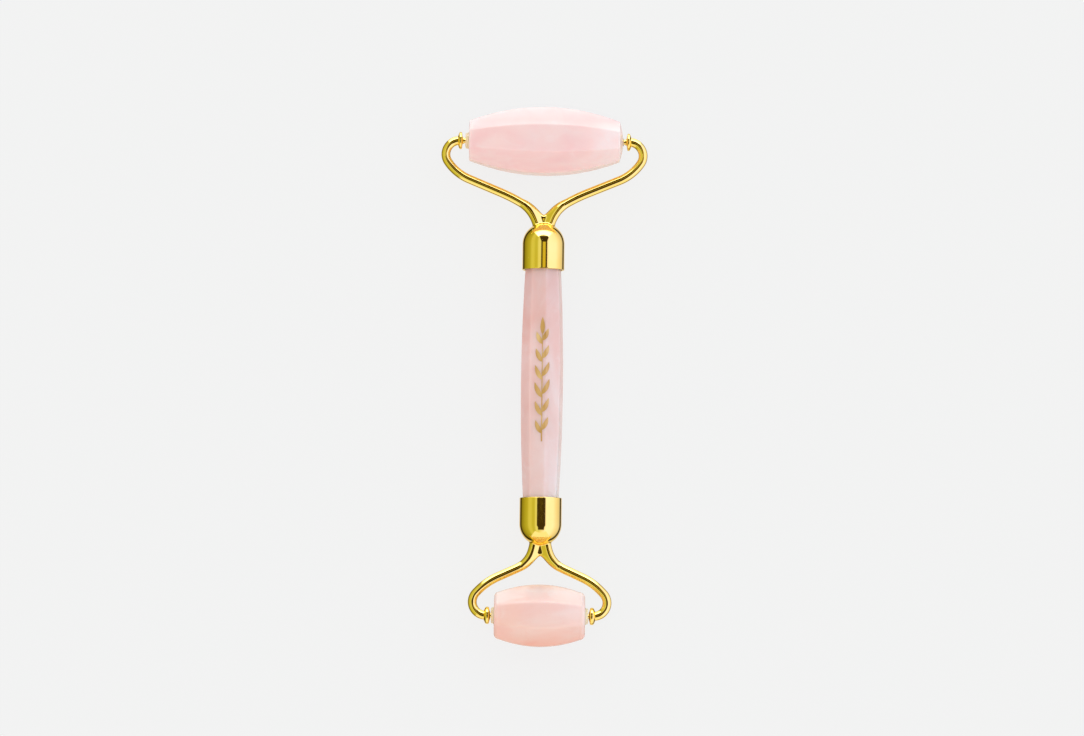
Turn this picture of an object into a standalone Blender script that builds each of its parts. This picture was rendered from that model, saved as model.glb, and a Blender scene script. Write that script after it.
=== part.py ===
"""Double-ended face roller: a faceted rose quartz handle with a wide roller at one end and a short one at the other.

Each end of the handle carries a round metal cap. A cast lug inside the cap holds the two bent wires of a fork,
and a grooved stud ties the lug to the handle. A barrel of stone spins between the wires on two pivot pins.
The object lies flat on its large barrel: +Y runs along the handle towards that barrel, +X to the right, +Z up.
The origin is the middle of the object's footprint. Lengths are in metres.
"""

import math

import bmesh
import bpy

MM = 0.001

# Gaps between neighbours, and the shared fineness of the shapes.
FIT_GAP = 0.15 * MM
GLUE_GAP = 0.3 * MM
RUNNING_CLEARANCE = 0.1 * MM
OVERCUT = 1.0 * MM
MERGE = 0.001 * MM
FACETS = 8
ROUND_STEPS = 32
SMALL_STEPS = 20

# Handle: an octagonal rod, slightly fatter in the middle. "Half" runs from its middle to a cap's mouth.
HANDLE_HALF = 30.7 * MM
HANDLE_MID_RADIUS = 5.78 * MM
HANDLE_END_RADIUS = 4.7 * MM
HANDLE_BANDS = 7
HANDLE_EDGE = 0.25 * MM
HANDLE_RIDGE_TURN = math.radians(9.5)
HANDLE_BORE_RADIUS = 1.8 * MM
HANDLE_BORE_DEPTH = 12.0 * MM

# The parts of a head are measured from the mouth of its cap, outwards along the handle's axis.
HANDLE_END = 3.6 * MM

CAP_RADIUS = 5.5 * MM
CAP_CYLINDER = 7.4 * MM
CAP_BORE_RADIUS = 5.1 * MM
CAP_WALL = 0.8 * MM
CAP_LIP_DEPTH = 4.4 * MM
CAP_ARCS = 8
SLOT_HALF_LENGTH = 3.4 * MM
SLOT_HALF_WIDTH = 1.4 * MM
SLOT_LOW = 10.0 * MM
SLOT_HIGH = 15.0 * MM

LUG_RADIUS = 3.4 * MM
LUG_LOW = 4.2 * MM
LUG_HIGH = 9.0 * MM
LUG_CHAMFER = 0.4 * MM
LUG_STUD_HOLE_TOP = 6.4 * MM
WEB_HALF_THICKNESS = 0.6 * MM
WEB_RISE = 0.9 * MM
WEB_TOP_POINTS = 7

STUD_RADIUS = 1.5 * MM
STUD_HIGH = 6.25 * MM
STUD_LOW = -8.2 * MM
STUD_GROOVES = 6
STUD_GROOVE_PITCH = 1.6 * MM
STUD_GROOVE_DEPTH = 0.2 * MM
STUD_GROOVE_SLOPE = 0.15 * MM

WIRE_RADIUS = 1.2 * MM
WIRE_FOOT = 7.0 * MM
WIRE_FOOT_OFFSET = 1.5 * MM
WIRE_TURN_STEP = math.radians(8)

# The collar sits on the wire's end. Its stations are measured from that end, outwards from the roller.
COLLAR_BOSS_FACE = -1.25 * MM
COLLAR_BOSS_RADIUS = 1.0 * MM
COLLAR_RIM_FACE = -0.8 * MM
COLLAR_RIM_BACK = -0.4 * MM
COLLAR_RIM_RADIUS = 2.33 * MM
COLLAR_TAIL = 0.45 * MM
COLLAR_TAIL_RADIUS = 1.55 * MM

PIN_RADIUS = 0.62 * MM
PIN_HOLD = 0.7 * MM
PIN_IN_BUSH = 5.5 * MM
PIN_CHAMFER = 0.2 * MM

BUSH_SLEEVE_RADIUS = 1.7 * MM
BUSH_SLEEVE_LENGTH = 6.0 * MM
BUSH_ROOT_RADIUS = 2.35 * MM
BUSH_TIP_RADIUS = 2.0 * MM


class Head:
    """The driving dimensions of one end of the object.

    axle: from the cap's mouth to the roller's axis. wire_reach: from the fork's middle to a wire's end.
    bends: (radius, degrees) from the wire's end to the cap, a negative angle turning back to the handle's axis.
    web_top: from the cap's mouth to the bottom of the notch between the wires.
    """

    def __init__(self, name, outward, axle, wire_reach, bush_flange, web_top, roller, bends):
        self.name = name
        self.outward = outward
        self.axle = axle
        self.wire_reach = wire_reach
        self.bush_flange = bush_flange
        self.web_top = web_top
        self.roller = roller
        self.bends = bends


class Roller:
    """An octagonal barrel. Its dome is how far the right end bulges beyond the flat end's distance."""

    def __init__(self, half_length, mid_radius, end_radius, edge, dome, bands):
        self.half_length = half_length
        self.mid_radius = mid_radius
        self.end_radius = end_radius
        self.edge = edge
        self.dome = dome
        self.bands = bands
        self.side = mid_radius * math.cos(math.pi / FACETS)


UPPER = Head(
    name="upper",
    outward=1,
    axle=34.9 * MM,
    wire_reach=22.9 * MM,
    bush_flange=0.85 * MM,
    web_top=14.9 * MM,
    roller=Roller(20.35 * MM, 9.7 * MM, 5.65 * MM, edge=0.4 * MM, dome=1.1 * MM, bands=9),
    bends=((3.7 * MM, 124.0), (12.7 * MM, 33.5), (44.0 * MM, -7.5), (9.9 * MM, -60.0)),
)
LOWER = Head(
    name="lower",
    outward=-1,
    axle=31.6 * MM,
    wire_reach=14.45 * MM,
    bush_flange=0.65 * MM,
    web_top=14.7 * MM,
    roller=Roller(12.2 * MM, 8.95 * MM, 6.3 * MM, edge=0.7 * MM, dome=0.0, bands=7),
    bends=((3.6 * MM, 131.0), (17.0 * MM, 24.5), (5.7 * MM, -48.0), (16.0 * MM, -17.5)),
)

AXIS_HEIGHT = UPPER.roller.side
UPPER_LENGTH = HANDLE_HALF + UPPER.axle + UPPER.roller.side
LOWER_LENGTH = HANDLE_HALF + LOWER.axle + LOWER.roller.side
HANDLE_Y = (LOWER_LENGTH - UPPER_LENGTH) / 2


def new_collection(name):
    collection = bpy.data.collections.new(name)
    bpy.context.scene.collection.children.link(collection)
    return collection


def new_material(name, colour, roughness, metallic=0.0, transmission=0.0):
    material = bpy.data.materials.new(name)
    material.use_nodes = True
    shader = material.node_tree.nodes["Principled BSDF"]
    shader.inputs["Base Color"].default_value = (*colour, 1)
    shader.inputs["Roughness"].default_value = roughness
    shader.inputs["Metallic"].default_value = metallic
    shader.inputs["Transmission Weight"].default_value = transmission
    return material


def new_empty(name, location, rotation):
    empty = bpy.data.objects.new(name, None)
    parts.objects.link(empty)
    empty.location = location
    empty.rotation_euler = rotation
    return empty


def place(piece, parent, location=(0, 0, 0), rotation=(0, 0, 0)):
    piece.parent = parent
    piece.location = location
    piece.rotation_euler = rotation
    return piece


def link(piece, material):
    """Puts a piece with a material among the parts, and one without among the cutters."""
    if material:
        parts.objects.link(piece)
        piece.data.materials.append(material)
    else:
        cutters.objects.link(piece)
        piece.hide_render = True
        piece.display_type = "WIRE"
    return piece


def turned(name, profile, material=None, steps=ROUND_STEPS, ring=False):
    """Spins a profile of (radius, height) points about Z. A ring's profile closes on itself and leaves a bore."""
    points = [(radius, 0, height) for radius, height in profile]
    edges = [(i, i + 1) for i in range(len(points) - 1)]
    if ring:
        edges.append((len(points) - 1, 0))
    mesh = bpy.data.meshes.new(name)
    mesh.from_pydata(points, edges, [])
    piece = link(bpy.data.objects.new(name, mesh), material)
    screw = piece.modifiers.new("Turn", "SCREW")
    screw.axis = "Z"
    screw.steps = steps
    screw.render_steps = steps
    screw.use_merge_vertices = True
    screw.merge_threshold = MERGE
    screw.use_smooth_shade = steps > FACETS
    return piece


def rod(name, radius, low, high, steps=SMALL_STEPS):
    """A cylindrical cutter about Z."""
    return turned(name, [(0, high), (radius, high), (radius, low), (0, low)], steps=steps)


def soften(piece, width):
    """Rounds the ridges and rims, and leaves the shallow bends along the barrel."""
    bevel = piece.modifiers.new("Soft edges", "BEVEL")
    bevel.width = width
    bevel.segments = 2
    bevel.limit_method = "ANGLE"
    bevel.angle_limit = math.radians(30)


def boolean(piece, other, operation="DIFFERENCE"):
    step = piece.modifiers.new(f"{operation.title()} {other.name}", "BOOLEAN")
    step.operation = operation
    step.solver = "EXACT"
    step.object = other


def mesh_of(curve_object, material=None):
    """Replaces a curve object by a mesh object of the same name, with its caps welded."""
    parts.objects.link(curve_object)
    bpy.context.view_layer.update()
    evaluated = curve_object.evaluated_get(bpy.context.evaluated_depsgraph_get())
    mesh = bpy.data.meshes.new_from_object(evaluated)
    welded = bmesh.new()
    welded.from_mesh(mesh)
    bmesh.ops.remove_doubles(welded, verts=welded.verts, dist=MERGE)
    welded.to_mesh(mesh)
    welded.free()
    name = curve_object.name
    matrix = curve_object.matrix_world.copy()
    bpy.data.objects.remove(curve_object, do_unlink=True)
    mesh.name = name
    piece = bpy.data.objects.new(name, mesh)
    piece.matrix_world = matrix
    mesh.shade_smooth()
    mesh.set_sharp_from_angle(angle=math.radians(40))
    return link(piece, material)


def poly_spline(curve, points):
    spline = curve.splines.new("POLY")
    spline.points.add(len(points) - 1)
    for point, place_at in zip(spline.points, points):
        point.co = (*place_at, 1)
    return spline


def plate(name, outline, half_thickness):
    """A flat outline in XY, filled and thickened along Z."""
    curve = bpy.data.curves.new(name, "CURVE")
    curve.dimensions = "2D"
    curve.fill_mode = "BOTH"
    curve.extrude = half_thickness
    poly_spline(curve, [(x, y, 0) for x, y in outline]).use_cyclic_u = True
    return mesh_of(bpy.data.objects.new(name, curve))


def crowned_profile(half_length, mid_radius, end_radius, bands, dome=0.0):
    """The outline of a barrel from its top to its bottom. Its middle band is straight, so its facets are flat there."""
    flat = half_length / bands
    profile = []
    for band in range(bands + 1):
        height = half_length - 2 * flat * band
        share = (height**2 - flat**2) / (half_length**2 - flat**2)
        profile.append((mid_radius - (mid_radius - end_radius) * share, height))
    top = []
    if dome:
        top = [(end_radius * share, half_length + dome * (1 - share**2)) for share in (0.25, 0.5, 0.75)]
    return [(0, half_length + dome)] + top + profile + [(0, -half_length)]


def make_handle():
    half = HANDLE_HALF + HANDLE_END
    profile = crowned_profile(half, HANDLE_MID_RADIUS, HANDLE_END_RADIUS, HANDLE_BANDS)
    handle = turned("handle_stone", profile, stone, steps=FACETS)
    place(handle, None, (0, HANDLE_Y, AXIS_HEIGHT), (-math.pi / 2, HANDLE_RIDGE_TURN, 0))
    soften(handle, HANDLE_EDGE)
    bore_floor = half - HANDLE_BORE_DEPTH
    for side, low, high in (("upper", bore_floor, half + OVERCUT), ("lower", -half - OVERCUT, -bore_floor)):
        bore = rod(f"{side}_handle_bore", HANDLE_BORE_RADIUS, low, high)
        boolean(handle, place(bore, handle))


def wire_route(head):
    """The right wire's centreline as (across, outward) points, from the pin's axis to its foot in the lug.

    The straight before the first turn back is as long as it takes for the foot to come out at its socket.
    """
    first_back = next(i for i, (_, turn) in enumerate(head.bends) if turn < 0)

    def walk(straight):
        across, outward, heading = head.wire_reach, head.axle, 0.0
        route = [(across, outward)]
        for i, (radius, degrees) in enumerate(head.bends):
            if i == first_back:
                across += straight * math.cos(heading)
                outward -= straight * math.sin(heading)
                route.append((across, outward))
            turn = math.radians(degrees)
            steps = max(2, round(abs(turn) / WIRE_TURN_STEP))
            chord = 2 * radius * math.sin(abs(turn) / steps / 2)
            for _ in range(steps):
                heading += turn / steps / 2
                across += chord * math.cos(heading)
                outward -= chord * math.sin(heading)
                heading += turn / steps / 2
                route.append((across, outward))
        return route

    slope = sum(math.radians(turn) for _, turn in head.bends[:first_back])
    excess = walk(0.0)[-1][0] - WIRE_FOOT_OFFSET
    return walk(excess / -math.cos(slope)) + [(WIRE_FOOT_OFFSET, WIRE_FOOT)]


def make_cap(head, frame):
    inner = CAP_RADIUS - CAP_WALL
    quarter = [math.pi / 2 * i / CAP_ARCS for i in range(CAP_ARCS + 1)]
    outside = [(CAP_RADIUS * math.sin(a), CAP_CYLINDER + CAP_RADIUS * math.cos(a)) for a in quarter]
    inside = [(inner * math.cos(a), CAP_CYLINDER + inner * math.sin(a)) for a in quarter]
    lip = [(CAP_RADIUS, 0), (CAP_BORE_RADIUS, 0), (CAP_BORE_RADIUS, CAP_LIP_DEPTH), (inner, CAP_LIP_DEPTH)]
    outside[0] = (0, CAP_CYLINDER + CAP_RADIUS)
    inside[-1] = (0, CAP_CYLINDER + inner)
    cap = place(turned(f"{head.name}_ferrule", outside + lip + inside, gold), frame)
    ends = [math.pi / 2 - math.pi * i / CAP_ARCS for i in range(CAP_ARCS + 1)]
    centre = SLOT_HALF_LENGTH - SLOT_HALF_WIDTH
    right = [(centre + SLOT_HALF_WIDTH * math.cos(a), SLOT_HALF_WIDTH * math.sin(a)) for a in ends]
    left = [(-x, -y) for x, y in right]
    slot = plate(f"{head.name}_crown_slot", right + left, (SLOT_HIGH - SLOT_LOW) / 2)
    boolean(cap, place(slot, frame, (0, 0, (SLOT_LOW + SLOT_HIGH) / 2)))


def web_outline(head, route):
    """The web's right edge follows the wire at a small gap. Its top dips to the bottom of the notch."""
    offset = WIRE_RADIUS + FIT_GAP
    edge = [(WIRE_FOOT_OFFSET - offset, LUG_HIGH - LUG_CHAMFER)]
    for (x0, y0), (x1, y1) in reversed(list(zip(route, route[1:]))):
        length = math.hypot(x1 - x0, y1 - y0)
        x = (x0 + x1) / 2 - offset * (y0 - y1) / length
        y = (y0 + y1) / 2 + offset * (x0 - x1) / length
        if LUG_HIGH < y < head.web_top + WEB_RISE:
            edge.append((x, y))
    half_width, height = edge[-1]
    across = [half_width * (1 - 2 * i / (WEB_TOP_POINTS - 1)) for i in range(1, WEB_TOP_POINTS - 1)]
    top = [(x, head.web_top + (height - head.web_top) * (x / half_width) ** 2) for x in across]
    return edge + top + [(-x, y) for x, y in reversed(edge)]


def make_fork_root(head, frame, route):
    hole = STUD_RADIUS + FIT_GAP
    profile = [(0, LUG_HIGH), (LUG_RADIUS - LUG_CHAMFER, LUG_HIGH), (LUG_RADIUS, LUG_HIGH - LUG_CHAMFER)]
    profile += [(LUG_RADIUS, LUG_LOW), (hole, LUG_LOW), (hole, LUG_STUD_HOLE_TOP), (0, LUG_STUD_HOLE_TOP)]
    lug = place(turned(f"{head.name}_fork_root", profile, brass), frame)
    for side, sign in (("right", 1), ("left", -1)):
        socket = rod(f"{head.name}_{side}_socket", WIRE_RADIUS + FIT_GAP, WIRE_FOOT - FIT_GAP, LUG_HIGH + OVERCUT)
        boolean(lug, place(socket, frame, (sign * WIRE_FOOT_OFFSET, 0, 0)))
    web = plate(f"{head.name}_web", web_outline(head, route), WEB_HALF_THICKNESS)
    boolean(lug, place(web, frame, rotation=(math.pi / 2, 0, 0)), "UNION")


def make_stud(head, frame):
    root = STUD_RADIUS - STUD_GROOVE_DEPTH
    chamfer = STUD_GROOVE_DEPTH
    profile = [(0, STUD_HIGH), (root, STUD_HIGH), (STUD_RADIUS, STUD_HIGH - chamfer)]
    lowest = STUD_LOW + STUD_GROOVE_PITCH / 2
    for i in reversed(range(STUD_GROOVES)):
        middle = lowest + STUD_GROOVE_PITCH * (i + 0.5)
        profile.append((STUD_RADIUS, middle + 2 * STUD_GROOVE_SLOPE))
        profile.append((root, middle + STUD_GROOVE_SLOPE))
        profile.append((root, middle - STUD_GROOVE_SLOPE))
        profile.append((STUD_RADIUS, middle - 2 * STUD_GROOVE_SLOPE))
    profile += [(STUD_RADIUS, STUD_LOW + chamfer), (root, STUD_LOW), (0, STUD_LOW)]
    place(turned(f"{head.name}_stud", profile, steel, steps=SMALL_STEPS), frame)


def make_wire(head, frame, axle, route, side, sign):
    name = f"{head.name}_{side}_arm"
    curve = bpy.data.curves.new(name, "CURVE")
    curve.dimensions = "3D"
    curve.bevel_depth = WIRE_RADIUS
    curve.bevel_resolution = 4
    curve.render_resolution_u = 0
    curve.use_fill_caps = True
    poly_spline(curve, [(sign * across, 0, outward) for across, outward in route])
    wire = place(mesh_of(bpy.data.objects.new(name, curve), gold), frame)
    low = head.wire_reach - OVERCUT
    bore = rod(f"{name}_bore", PIN_RADIUS + FIT_GAP, low, head.wire_reach + PIN_HOLD + FIT_GAP)
    boolean(wire, place(bore, axle, rotation=facing(sign)))


def facing(sign):
    """Turns a part about the axle so that its own +Z points to the right or to the left."""
    return (0, 0, 0) if sign > 0 else (math.pi, 0, 0)


def make_collar(head, axle, side, sign):
    end = head.wire_reach
    socket = WIRE_RADIUS + FIT_GAP
    bore = PIN_RADIUS + FIT_GAP
    profile = [
        (socket, end + COLLAR_TAIL),
        (COLLAR_TAIL_RADIUS, end + COLLAR_TAIL),
        (COLLAR_RIM_RADIUS, end + COLLAR_RIM_BACK),
        (COLLAR_RIM_RADIUS, end + COLLAR_RIM_FACE),
        (COLLAR_BOSS_RADIUS, end + COLLAR_RIM_FACE),
        (COLLAR_BOSS_RADIUS, end + COLLAR_BOSS_FACE),
        (bore, end + COLLAR_BOSS_FACE),
        (bore, end - FIT_GAP),
        (socket, end - FIT_GAP),
    ]
    collar = turned(f"{head.name}_{side}_collar", profile, gold, steps=SMALL_STEPS, ring=True)
    place(collar, axle, rotation=facing(sign))


def make_pin(head, axle, side, sign):
    high = head.wire_reach + PIN_HOLD
    low = head.roller.half_length - PIN_IN_BUSH
    tip = PIN_RADIUS - PIN_CHAMFER
    profile = [(0, high), (tip, high), (PIN_RADIUS, high - PIN_CHAMFER)]
    profile += [(PIN_RADIUS, low + PIN_CHAMFER), (tip, low), (0, low)]
    pin = turned(f"{head.name}_{side}_pin", profile, gold, steps=SMALL_STEPS)
    place(pin, axle, rotation=facing(sign))


def make_bush(head, axle, side, sign):
    seat = head.roller.half_length + FIT_GAP
    face = seat + head.bush_flange
    bore = PIN_RADIUS + RUNNING_CLEARANCE
    profile = [
        (bore, face),
        (BUSH_TIP_RADIUS, face),
        (BUSH_ROOT_RADIUS, seat),
        (BUSH_SLEEVE_RADIUS, seat),
        (BUSH_SLEEVE_RADIUS, seat - BUSH_SLEEVE_LENGTH),
        (bore, seat - BUSH_SLEEVE_LENGTH),
    ]
    bush = turned(f"{head.name}_{side}_bush", profile, nylon, steps=SMALL_STEPS, ring=True)
    place(bush, axle, rotation=facing(sign))


def make_roller(head, axle):
    shape = head.roller
    profile = crowned_profile(shape.half_length, shape.mid_radius, shape.end_radius, shape.bands, shape.dome)
    barrel = turned(f"{head.name}_roller_stone", profile, stone, steps=FACETS)
    place(barrel, axle, rotation=(0, 0, math.pi / FACETS))
    soften(barrel, shape.edge)
    bore = BUSH_SLEEVE_RADIUS + FIT_GAP
    seat = BUSH_ROOT_RADIUS + GLUE_GAP
    far = shape.half_length + shape.dome + OVERCUT
    profile = [(0, far), (seat, far), (seat, shape.half_length), (bore, shape.half_length), (bore, -far), (0, -far)]
    boolean(barrel, place(turned(f"{head.name}_roller_bore", profile), axle))


def make_head(head):
    mouth = HANDLE_Y + head.outward * HANDLE_HALF
    frame = new_empty(f"{head.name}_head_frame", (0, mouth, AXIS_HEIGHT), (-head.outward * math.pi / 2, 0, 0))
    axle_place = (0, mouth + head.outward * head.axle, AXIS_HEIGHT)
    axle = new_empty(f"{head.name}_roller_axis", axle_place, (0, math.pi / 2, 0))
    route = wire_route(head)
    make_cap(head, frame)
    make_fork_root(head, frame, route)
    make_stud(head, frame)
    make_roller(head, axle)
    for side, sign in (("left", -1), ("right", 1)):
        make_wire(head, frame, axle, route, side, sign)
        make_collar(head, axle, side, sign)
        make_pin(head, axle, side, sign)
        make_bush(head, axle, side, sign)


for thing in list(bpy.data.objects):
    bpy.data.objects.remove(thing, do_unlink=True)

parts = new_collection("face_roller")
cutters = new_collection("cutters")
stone = new_material("rose_quartz", (0.83, 0.60, 0.58), roughness=0.16, transmission=0.15)
gold = new_material("gold_plate", (0.88, 0.66, 0.16), roughness=0.08, metallic=1.0)
brass = new_material("brass", (0.80, 0.60, 0.20), roughness=0.25, metallic=1.0)
steel = new_material("steel", (0.60, 0.60, 0.60), roughness=0.3, metallic=1.0)
nylon = new_material("nylon", (0.92, 0.80, 0.62), roughness=0.35, transmission=0.4)

make_handle()
for end in (UPPER, LOWER):
    make_head(end)
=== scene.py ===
"""Looks of the double-ended face roller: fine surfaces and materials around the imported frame.

The object lies flat on its wide roller: +Y runs along the handle towards that roller, +X to the right,
+Z up. Everything is in metres. Places and sizes come from the frame's nodes, and the bends of the wires
from the design.
"""

import math

import bmesh
import bpy
import numpy as np
from mathutils import Matrix, Vector


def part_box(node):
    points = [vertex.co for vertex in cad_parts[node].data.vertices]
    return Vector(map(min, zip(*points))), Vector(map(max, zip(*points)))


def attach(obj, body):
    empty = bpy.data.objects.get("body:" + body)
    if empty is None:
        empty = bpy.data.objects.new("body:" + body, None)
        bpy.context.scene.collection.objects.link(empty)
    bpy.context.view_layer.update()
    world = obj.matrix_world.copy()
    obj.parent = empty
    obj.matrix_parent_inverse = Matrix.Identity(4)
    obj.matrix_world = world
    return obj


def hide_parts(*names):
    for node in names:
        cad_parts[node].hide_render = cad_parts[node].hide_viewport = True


MM = 0.001
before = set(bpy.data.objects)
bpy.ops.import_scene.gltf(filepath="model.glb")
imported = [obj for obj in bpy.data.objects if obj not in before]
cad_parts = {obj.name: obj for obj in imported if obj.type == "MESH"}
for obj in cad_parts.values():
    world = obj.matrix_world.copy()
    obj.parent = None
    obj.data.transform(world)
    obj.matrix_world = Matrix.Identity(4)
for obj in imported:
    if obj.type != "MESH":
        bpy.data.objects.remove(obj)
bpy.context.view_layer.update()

# Fineness of the surfaces.
ROUND_STEPS = 128
TUBE_STEPS = 48
BEND_STEP = math.radians(1.5)
ARC_STEPS = 6
FLAT_STEPS = 4
STONE_STATIONS = 96
END_STEPS = 10
SHARP_ANGLE = math.radians(40)
BRACE = 0.12 * MM
BRACED_RUN = 6 * BRACE

# Faceted stones: "ridge" is the radius that polishing leaves along an edge between two facets.
FACETS = 8
FACET_HALF_ANGLE = math.pi / FACETS
HANDLE_RIDGE = 0.9 * MM
HANDLE_END_SHARE = 4.7 / 5.78
HANDLE_RIDGE_TURN = math.radians(9.5)
HANDLE_BORE = 1.8 * MM
HANDLE_BORE_DEPTH = 12.0 * MM
HANDLE_RIM = 0.2 * MM
ROLLER_BORE = 1.85 * MM

# The photo's caps are this much larger in radius than the frame's.
CAP_GROWTH = 0.17 * MM
CAP_WALL = 0.8 * MM
CAP_LIP = 0.16 * MM
CAP_BORE = 5.1 * MM
CAP_BORE_DEPTH = 4.4 * MM
CAP_ARC_STEPS = 40

WIRE_RADIUS = 1.2 * MM
WIRE_FOOT = 7.0 * MM
WIRE_FOOT_OFFSET = 1.5 * MM
COLLAR_TAIL = 0.45 * MM
PIN_RADIUS = 0.62 * MM
PIN_ROUNDING = 0.15 * MM
PIN_PLAY = 0.08 * MM
SLEEVE_RADIUS = 1.7 * MM
SUNK_NECK = 0.98 * MM

# Fork root: a lug inside the cap, and a brazed fillet where the wires meet each other and the cap's crown.
LUG_RADIUS = 3.4 * MM
LUG_LOW = 4.2 * MM
LUG_HIGH = 9.0 * MM
LUG_CHAMFER = 0.4 * MM
STUD_HOLE = 1.65 * MM
STUD_HOLE_END = 6.4 * MM
ROOT_LOW = 8.7 * MM
ROOT_CELL = 0.13 * MM
ROOT_UNDERCUT = 0.015 * MM
ROOT_SLEEVE = 0.9 * MM
ROOT_REACH = 5.2 * MM
ROOT_DEPTH = 1.6 * MM
CROWN_FILLET = 0.5 * MM
WEB_FILLET = 1.0 * MM
WEB_HALF_THICKNESS = 0.75 * MM
WEB_EDGE = 1.0 * MM
WEB_HALF_WIDTH = 5.8 * MM
WEB_SHOULDER = 1.25 * MM
WEB_SHOULDER_CURVE = 0.13 / MM
ROOT_HALF_WIDTH = 6.3 * MM
ROOT_TAPER = 0.05
ROOT_TAPER_START = 4.6 * MM
NOTCH_ROUNDING = 0.35 * MM

# Leaf sprig in gold foil on the handle's front.
SPRIG_LENGTH = 33.4 * MM
SPRIG_OFFSET = 0.9 * MM
SPRIG_PAIRS = 6
LEAF_LENGTH = 4.6 * MM
LEAF_HALF_WIDTH = 0.62 * MM
LEAF_SPREAD = math.radians(38)
LEAF_CURL = math.radians(26)
LEAF_STAGGER = 0.45 * MM
LEAF_SHRINK = 0.22
LONGEST_LEAF = 0.9
FIRST_PAIR = 0.55
STEM_HALF_WIDTH = 0.17 * MM
STEM_TAPER = 0.45
FOIL_LIFT = 0.03 * MM
FOIL_ROOT = 0.06 * MM
FOIL_ROWS = 28
FOIL_COLUMNS = 6


class Head:
    """One end of the object, read from its CAD nodes. Outward is along the handle, away from its middle.

    bends: (radius, degrees) of the right wire, from its end at the pin to the cap.
    notch: how far beyond the cap's mouth the notch between the wires ends.
    slope: how steeply the web's edge leaves the notch.
    rim: where the collar's rim starts and stops, past the wire's end.
    boss: the radius of the collar's boss, and where its root is.
    """

    def __init__(self, name, outward, notch, slope, rim, boss, bends):
        self.name = name
        self.outward = outward
        self.notch = notch
        self.slope = slope
        self.rim = rim
        self.boss = boss
        self.bends = bends
        cap_low, cap_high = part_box(f"{name}_ferrule")
        collar_low, collar_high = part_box(f"{name}_right_collar")
        self.stone_low, self.stone_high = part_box(f"{name}_roller_stone")
        self.height = (cap_low.z + cap_high.z) / 2
        self.mouth, crown = (cap_low.y, cap_high.y) if outward > 0 else (cap_high.y, cap_low.y)
        self.cap_radius = (cap_high.x - cap_low.x) / 2 + CAP_GROWTH
        self.cap_length = abs(crown - self.mouth)
        self.axle_y = (self.stone_low.y + self.stone_high.y) / 2
        self.axle = abs(self.axle_y - self.mouth)
        self.collar_radius = (collar_high.z - collar_low.z) / 2
        self.wire_reach = collar_high.x - COLLAR_TAIL

    def at(self, across, outward, up=0.0):
        """A point measured from the middle of the cap's mouth."""
        return Vector((across, self.mouth + self.outward * outward, self.height + up))

    def about_handle_axis(self, radius, angle, outward):
        return self.at(radius * math.cos(angle), outward, radius * math.sin(angle))

    def about_axle(self, sign):
        """Places a turned shape about the axle, its height running right (+1) or left (-1)."""

        def place(radius, angle, height):
            y = self.axle_y + radius * math.cos(angle)
            return Vector((sign * height, y, self.height + radius * math.sin(angle)))

        return place


UPPER = Head(
    "upper",
    outward=1,
    notch=15.05 * MM,
    slope=1.1,
    rim=(0.04 * MM, -0.56 * MM),
    boss=(0.85 * MM, -0.8 * MM),
    bends=((3.7 * MM, 124.0), (12.7 * MM, 33.5), (44.0 * MM, -7.5), (9.9 * MM, -60.0)),
)
LOWER = Head(
    "lower",
    outward=-1,
    notch=15.65 * MM,
    slope=1.05,
    rim=(-0.02 * MM, -0.9 * MM),
    boss=(1.1 * MM, -1.1 * MM),
    bends=((3.6 * MM, 131.0), (17.0 * MM, 24.5), (7.5 * MM, -48.0), (16.0 * MM, -17.5)),
)
SIDES = (("left", -1), ("right", 1))


# ---------------------------------------------------------------- surfaces


def new_object(name, mesh, material, body, nodes):
    """A finished piece: shaded, in its material, riding on its body in place of its CAD nodes."""
    piece = bpy.data.objects.new(name, mesh)
    bpy.context.scene.collection.objects.link(piece)
    mesh.materials.append(material)
    mesh.shade_smooth()
    mesh.set_sharp_from_angle(angle=SHARP_ANGLE)
    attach(piece, body)
    if nodes:
        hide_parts(*nodes)
    return piece


def skin(name, rings, loop=False):
    """Joins rings of points into one surface.

    A ring of one point closes an end, and a loop closes on its first ring.
    """
    surface = bmesh.new()
    made = [[surface.verts.new(point) for point in ring] for ring in rings]
    pairs = list(zip(made, made[1:]))
    if loop:
        pairs.append((made[-1], made[0]))
    for one, other in pairs:
        count = max(len(one), len(other))
        for i in range(count):
            j = (i + 1) % count
            near = (one[i % len(one)], one[j % len(one)])
            far = (other[j % len(other)], other[i % len(other)])
            surface.faces.new(list(dict.fromkeys(near + far)))
    bmesh.ops.recalc_face_normals(surface, faces=surface.faces)
    mesh = bpy.data.meshes.new(name)
    surface.to_mesh(mesh)
    surface.free()
    return mesh


def rounded(outline, steps=ARC_STEPS):
    """An outline of (x, y, reach) corners, each rounded off from that reach before it to as far after it."""
    path = [Vector(outline[0][:2])]
    for before, corner, after in zip(outline, outline[1:], outline[2:]):
        middle, reach = Vector(corner[:2]), corner[2]
        if reach == 0:
            path.append(middle)
            continue
        start = middle + (Vector(before[:2]) - middle).normalized() * reach
        end = middle + (Vector(after[:2]) - middle).normalized() * reach
        for i in range(steps + 1):
            t = i / steps
            path.append(start * (1 - t) ** 2 + middle * (2 * t * (1 - t)) + end * t**2)
    path.append(Vector(outline[-1][:2]))
    return path


def braced(profile):
    """The same profile with a point close to both ends of each long straight run, to shade it straight."""
    path = [profile[0]]
    for one, other in zip(profile, profile[1:]):
        run = math.dist(one, other)
        if run > BRACED_RUN and min(one[0], other[0]) > 0:
            for share in (BRACE / run, 1 - BRACE / run):
                path.append(tuple(a + (b - a) * share for a, b in zip(one, other)))
        path.append(other)
    return path


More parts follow.
